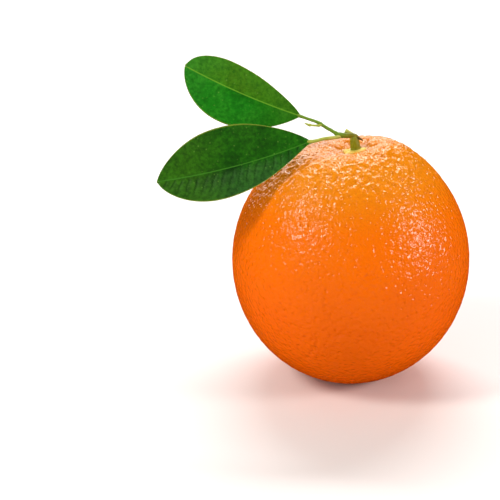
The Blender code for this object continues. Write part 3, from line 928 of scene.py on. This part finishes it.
    def build(self, finishes: dict) -> list[Object]:
        """Sweeps every rod and dresses it.

        Args:
            finishes: the bark for each node's name.

        Returns:
            The pieces.
        """
        pieces = []
        tree = None
        for rod in self.rods:
            thick = max(knot[3] for knot in rod.knots) * MM / 2
            ridges, knobs = rod.surface.value
            sizes = {"Sides": self.sides, "Step": self.step, "Ridges": ridges * thick,
                     "Knobs": knobs * thick, "Material": finishes[rod.node]}
            tree = tree or self.tree(sizes)
            piece = grow(rod.name, tree, sizes, self.route(rod))
            put_in_frame(piece, rod.node)
            pieces.append(piece)
        return pieces


# ---------------------------------------------------------------- the leaves


@dataclass(frozen=True)
class LeafForm:
    """The form of one blade: its size, the way it points, and how its two halves are shaped and folded."""

    node: str
    length: float
    upper_width: float  # from the midrib to the upper edge
    lower_width: float
    heading: float  # degrees from +X that the midrib points, seen from above
    rise: float  # degrees that it climbs
    face_lean: float  # degrees that its face looks up from level
    upper_fold: float  # degrees that each half turns up from the midrib
    lower_fold: float
    upper_fullness: tuple  # how sharply the half narrows to its foot and to its tip; 1 is a wedge
    lower_fullness: tuple
    bow: float  # how far the midrib bows out of the leaf's plane, as a share of its length
    sweep: float  # how far the midrib curves within the plane, as a share of its length
    upper_veins: float  # how deep the side veins lie in each half, in metres
    lower_veins: float


@dataclass
class Leaf:
    """One leaf blade with its midrib, side veins, waved edge and real thickness."""

    form: LeafForm
    foot: Vector
    rows: int = 210
    columns: int = 30  # on each side of the midrib
    foot_width: float = 0.45 * MM  # half of it, where the blade meets its stalk
    tip_width: float = 0.12 * MM
    arch: float = 0.06
    wave: float = 0.22 * MM
    wave_turns: tuple = (17.0, 1.3)  # radians from foot to tip, and between the two edges
    thickness: float = 0.34 * MM
    vein_spacing: float = 2.8 * MM
    vein_slant: float = 0.55  # how far a vein runs towards the tip for each step out
    midrib_width: float = 0.45 * MM
    midrib_height: float = 0.16 * MM
    midrib_sharpness: float = 1.6
    midrib_taper: float = 0.25  # the share of it that is left at the tip
    underside_rib: float = 0.45 * MM
    drift: float = 0.9  # how far the veins stray, in spacings
    drift_size: float = 7.0 * MM
    vein_line: tuple = (0.0, 0.14, 1.0, 0.0)  # zones away from a vein, in spacings
    vein_quilt: tuple = (0.0, 0.4, 0.0, 1.0)
    veins_begin: tuple = (0.03, 0.14, 0.0, 1.0)  # zones from the midrib to the edge
    veins_end: tuple = (0.5, 0.95, 1.0, 0.0)
    edge_wall: tuple = (0.9, 1.0, 1.0, 0.35)
    full_vein: float = 0.26 * MM  # a vein this deep takes all of its tint
    seam: float = 0.001 * MM  # points this close are sewn together

    def half_width(self, t: float, width: float, fullness: tuple) -> float:
        """A half blade's width at t, from 0 at its foot to 1 at its tip."""
        foot, tip = fullness
        widest = foot / (foot + tip)
        share = t ** foot * (1.0 - t) ** tip / (widest ** foot * (1.0 - widest) ** tip)
        least = self.foot_width + (self.tip_width - self.foot_width) * t ** 2
        return least + (width - least) * share

    def blank(self) -> Mesh:
        """Lays out the blade's bare middle surface.

        Returns:
            A mesh with each point's place on the blade in the attribute "blade": metres along the midrib,
            metres across from it, and the share of the way to the edge.
        """
        form = self.form
        turn, climb, lean = (math.radians(angle) for angle in (form.heading, form.rise, form.face_lean))
        level = math.cos(climb)
        along = Vector((math.cos(turn) * level, math.sin(turn) * level, math.sin(climb)))
        hint = Vector((0.0, -math.cos(lean), math.sin(lean)))
        out = (hint - along * hint.dot(along)).normalized()
        across = out.cross(along)
        across *= math.copysign(1.0, across.z)
        tip = self.foot + along * form.length
        pull = (self.foot + tip) / 2 + (out * form.bow + across * form.sweep) * form.length
        halves = {-1: (form.lower_width, form.lower_fullness, math.radians(form.lower_fold)),
                  1: (form.upper_width, form.upper_fullness, math.radians(form.upper_fold))}
        turns, offset = self.wave_turns
        places, marks = [], []
        for row in range(self.rows + 1):
            t = 0.5 - 0.5 * math.cos(math.pi * row / self.rows)
            middle = self.foot * (1 - t) ** 2 + pull * 2 * t * (1 - t) + tip * t ** 2
            ahead = ((pull - self.foot) * (1 - t) + (tip - pull) * t).normalized()
            normal = (out - ahead * out.dot(ahead)).normalized()
            sideways = (across - ahead * across.dot(ahead)).normalized()
            for column in range(-self.columns, self.columns + 1):
                side = 1 if column > 0 else -1
                share = abs(column) / self.columns
                width, fullness, fold = halves[side]
                reach = self.half_width(t, width, fullness)
                lift = share * math.sin(fold) - self.arch * 4 * share * (1 - share)
                wave = self.wave * share ** 2 * math.sin(t * turns + side * offset) * math.sin(math.pi * t)
                shift = sideways * side * share * math.cos(fold) + normal * lift
                places.append(middle + shift * reach + normal * wave)
                marks.extend((t * form.length, side * share * reach, share))
        stride = 2 * self.columns + 1
        faces = [(row * stride + column, row * stride + column + 1, (row + 1) * stride + column + 1,
                  (row + 1) * stride + column) for row in range(self.rows) for column in range(stride - 1)]
        mesh = bpy.data.meshes.new(f"{form.node}_blank")
        mesh.from_pydata(places, [], faces)
        mesh.attributes.new("blade", "FLOAT_VECTOR", "POINT").data.foreach_set("vector", marks)
        if mesh.polygons[len(faces) // 2].normal.dot(out) < 0:
            mesh.flip_normals()
        return mesh

    def tree(self, sizes: dict) -> Tree:
        """Builds the tree that raises the midrib, sinks the side veins, and gives the blade its thickness.

        Args:
            sizes: the tree's named inputs.

        Returns:
            The tree.
        """
        tree, given = start_tree("leaf_relief", sizes)
        size = given.outputs
        mark = noted(tree, "blade", "FLOAT_VECTOR")
        along, across, share = add_node(tree, "ShaderNodeSeparateXYZ", (mark,)).outputs
        place = add_node(tree, "GeometryNodeInputPosition")
        off = maths(tree, "ABSOLUTE", across)
        back = maths(tree, "SUBTRACT", along, product(tree, off, size["Vein Slant"]))
        count = maths(tree, "DIVIDE", back, size["Vein Spacing"])
        drift = noise(tree, place, self.drift_size, 2.0)
        phase = maths(tree, "PINGPONG", maths(tree, "MULTIPLY_ADD", drift, self.drift, count), 0.5)
        line = ranged(tree, phase, *self.vein_line, smooth=True)
        quilt = ranged(tree, phase, *self.vein_quilt, smooth=True)
        zone = product(tree, ranged(tree, share, *self.veins_begin), ranged(tree, share, *self.veins_end))
        upper = maths(tree, "GREATER_THAN", across, 0.0)
        depth = ranged(tree, upper, 0.0, 1.0, size["Lower Veins"], size["Upper Veins"])
        swell = product(tree, quilt, zone, depth)

        rib = bell(tree, off, size["Midrib Width"], self.midrib_sharpness)
        rib_here = product(tree, rib, ranged(tree, along, 0.0, size["Length"], 1.0, self.midrib_taper))
        top = maths(tree, "MULTIPLY_ADD", rib_here, size["Midrib Height"], swell)
        vein_here = product(tree, line, zone, depth, 1.0 / self.full_vein)
        upper_skin = raised(tree, stored(tree, given, "vein", vein_here, "FLOAT"), top)

        wall = product(tree, ranged(tree, share, *self.edge_wall), size["Thickness"])
        ribbed_wall = maths(tree, "MULTIPLY_ADD", rib_here, size["Underside Rib"], wall)
        sink = scaled(tree, add_node(tree, "GeometryNodeInputNormal"), product(tree, ribbed_wall, -1.0))
        extruded = add_node(tree, "GeometryNodeExtrudeMesh",
                            {"Mesh": upper_skin, "Offset": sink, "Offset Scale": 1.0, "Individual": False},
                            mode="FACES")
        # The extruded sheet faces the same way as the blade, so it is turned to face down.
        turned = add_node(tree, "GeometryNodeFlipFaces", (extruded,))
        marked = stored(tree, turned, "under", True, "BOOLEAN", "FACE")
        joined = add_node(tree, "GeometryNodeJoinGeometry")
        tree.links.new(marked.outputs["Geometry"], joined.inputs[0])
        tree.links.new(upper_skin.outputs["Geometry"], joined.inputs[0])
        sewn = add_node(tree, "GeometryNodeMergeByDistance", {"Geometry": joined, "Distance": self.seam})
        real = add_node(tree, "GeometryNodeRealizeInstances", (sewn,))
        faced = add_node(tree, "GeometryNodeSetMaterial", {"Geometry": real, "Material": size["Material"]})
        backed = add_node(tree, "GeometryNodeSetMaterial", {
            "Geometry": faced, "Selection": noted(tree, "under", "BOOLEAN"), "Material": size["Underside"]})
        add_node(tree, "NodeGroupOutput", (backed,))
        return tree

    def build(self, upper_skin: Material, underside: Material) -> Object:
        """Grows the blade and dresses its two faces.

        Args:
            upper_skin: the upper face's material.
            underside: the lower face's material.

        Returns:
            The piece.
        """
        sizes = {
            "Length": self.form.length, "Thickness": self.thickness, "Vein Spacing": self.vein_spacing,
            "Vein Slant": self.vein_slant, "Upper Veins": self.form.upper_veins,
            "Lower Veins": self.form.lower_veins, "Midrib Width": self.midrib_width,
            "Midrib Height": self.midrib_height, "Underside Rib": self.underside_rib,
            "Material": upper_skin, "Underside": underside,
        }
        piece = grow(f"{self.form.node}_blade", self.tree(sizes), sizes, self.blank())
        put_in_frame(piece, self.form.node)
        return piece


UPPER_LEAF = LeafForm("upper_leaf", 40.9 * MM, 8.3 * MM, 12.1 * MM, 170.9, 21.8, 26.6, 10.0, 12.0,
                      (0.84, 0.48), (0.94, 0.73), 0.030, -0.048, 0.02 * MM, 0.05 * MM)
LOWER_LEAF = LeafForm("lower_leaf", 51.9 * MM, 13.6 * MM, 10.9 * MM, 193.6, -10.7, 32.9, 16.0, 18.0,
                      (0.88, 0.74), (1.21, 0.70), 0.023, -0.067, 0.03 * MM, 0.21 * MM)


# ---------------------------------------------------------------- the studio


@dataclass(frozen=True)
class Softbox:
    """A soft rectangular light that looks at the fruit."""

    name: str
    direction: tuple  # from the fruit
    distance: float
    width: float
    height: float
    power: float
    colour: str = "#FFFFFF"
    mirrored: bool = True  # whether it shows in glossy surfaces


@dataclass
class Studio:
    """A pale floor, soft light from five boxes and a dim room, and the camera."""

    centre: Vector
    floor_colour: str = "#EEEDEB"
    floor_size: float = 6.0
    floor_roughness: float = 0.9
    floor_ior: float = 1.4
    room_light: float = 0.2
    aim: tuple = (-33.95 * MM, 1.03 * MM, 43.81 * MM)
    elevation: float = 22.0
    distance: float = 0.620
    lens: float = 131.97
    film_width: float = 36.0
    near: float = 0.01
    boxes: tuple = (
        Softbox("key_box", (0.89, -0.27, 0.37), 0.9, 0.22, 0.28, 4.8, "#FFEFEA"),
        Softbox("left_box", (-0.67, -0.33, 0.67), 0.9, 0.18, 0.30, 4.3, "#FFF4EC"),
        Softbox("back_box", (0.06, 0.60, 0.80), 1.0, 0.80, 0.15, 8.4),
        Softbox("backdrop", (-0.12, 0.96, 0.27), 1.3, 1.30, 0.50, 5.6),
        Softbox("fill_box", (-0.62, -0.74, 0.24), 1.2, 0.9, 0.9, 4.8, mirrored=False),
    )

    def floor(self) -> None:
        """Lays the plain floor, level with the flat spot."""
        mesh = bpy.data.meshes.new("paper_floor")
        half = self.floor_size / 2
        corners = [(-half, -half, 0), (half, -half, 0), (half, half, 0), (-half, half, 0)]
        mesh.from_pydata(corners, [], [(0, 1, 2, 3)])
        material, shader, *_ = start_material("seamless_paper", self.floor_roughness, self.floor_ior)
        shader.inputs["Base Color"].default_value = linear(self.floor_colour)
        mesh.materials.append(material)
        piece = show("paper_floor", mesh)
        piece.visible_glossy = False

    def light(self) -> None:
        """Hangs the softboxes and lights the room."""
        for box in self.boxes:
            lamp = bpy.data.lights.new(box.name, "AREA")
            lamp.shape = "RECTANGLE"
            lamp.size, lamp.size_y = box.width, box.height
            lamp.energy = box.power
            lamp.color = linear(box.colour)[:3]
            way = Vector(box.direction).normalized()
            holder = show(box.name, lamp)
            holder.location = self.centre + way * box.distance
            holder.rotation_euler = way.to_track_quat("Z", "Y").to_euler()
            holder.visible_glossy = box.mirrored
        world = bpy.data.worlds.new("studio_room")
        world.use_nodes = True
        room = world.node_tree.nodes["Background"]
        room.inputs["Color"].default_value = (1.0, 1.0, 1.0, 1.0)
        room.inputs["Strength"].default_value = self.room_light
        world.cycles_visibility.glossy = False
        bpy.context.scene.world = world

    def camera(self) -> None:
        """Stands the camera in front of the fruit, looking a little down on it."""
        lens = bpy.data.cameras.new("studio_camera")
        lens.lens = self.lens
        lens.sensor_width = self.film_width
        lens.clip_start = self.near
        angle = math.radians(self.elevation)
        way = Vector((0.0, -math.cos(angle), math.sin(angle)))
        camera = show("studio_camera", lens)
        camera.location = Vector(self.aim) + way * self.distance
        camera.rotation_euler = way.to_track_quat("Z", "Y").to_euler()
        bpy.context.scene.camera = camera

    def build(self) -> None:
        """Sets up the whole studio."""
        self.floor()
        self.light()
        self.camera()
        bpy.context.scene.view_settings.view_transform = "Standard"


# ---------------------------------------------------------------- putting it together


def main() -> None:
    """Builds every sub-assembly in order."""
    logging.basicConfig(level=logging.INFO, format="%(name)s: %(message)s")
    fruit_low, fruit_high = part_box("orange")
    stem_low, stem_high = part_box("stem")
    stem_foot_width = stem_high.y - stem_low.y
    stem_width = 3.2 * MM
    stem_top = Vector((stem_low.x + stem_width / 2, 0.0, stem_high.z))
    stem_foot = Vector((stem_high.x - stem_foot_width / 2, 0.0, stem_low.z))

    fruit = Fruit(width=fruit_high.x - fruit_low.x)
    fruit.build(Peel())
    calyx_shift = Vector((-0.1 * MM, -0.45 * MM, 0.0))  # the star isn't quite centred on the stem
    Calyx(fruit, stem_foot + calyx_shift).build(CalyxSkin())

    green = Bark("green_bark_young", "#6F9424", "#7A7410", "#4A6A10", old_from=-1.0 * MM).material()
    stem = Bark("green_bark_stem", "#848C14", "#848C14", "#5A6408", old_from=0.0).material()
    pale = Bark("pale_bark_new", "#A9B84A", "#B9BC58", "#7F8F2A", old_from=-6.0 * MM).material()
    thorn = Bark("thorn_bark_dry", "#6B5A14", "#5C4A10", "#3A3008", old_from=2.0 * MM).material()
    twig = Twig(stem_top)
    twig.build({"stem": stem, "twig": green, "upper_petiole": green, "thorn": thorn, "cut_stub": pale,
                "side_shoot": pale, "lower_petiole": pale})

    underside = LeafSkin("leaf_underside_matt", "#4E7A2E", "#5F8C3A", "#6F9A46", *["#6A9440"] * 4,
                         "#86AE58", roughness=0.6).material()
    # The fifth and sixth colours of each upper skin paint light and shade on the upper and lower halves of
    # its blade.
    upper_skin = LeafSkin("leaf_upper_waxed_light", "#0A5202", "#147806", "#3A9020", "#50800C",
                          "#1A8414", "#2E6402", "#2C8420", "#66A026").material()
    lower_skin = LeafSkin("leaf_upper_waxed_dark", "#082C04", "#165A06", "#347A14", "#1C6002",
                          "#3A6A30", "#1C7004", "#3A700E", "#3C7E20").material()
    Leaf(UPPER_LEAF, twig.leaf_foot("upper_petiole")).build(upper_skin, underside)
    Leaf(LOWER_LEAF, twig.leaf_foot("lower_petiole")).build(lower_skin, underside)

    Studio(Vector((0.0, 0.0, fruit.middle))).build()


if __name__ == "__main__":
    main()
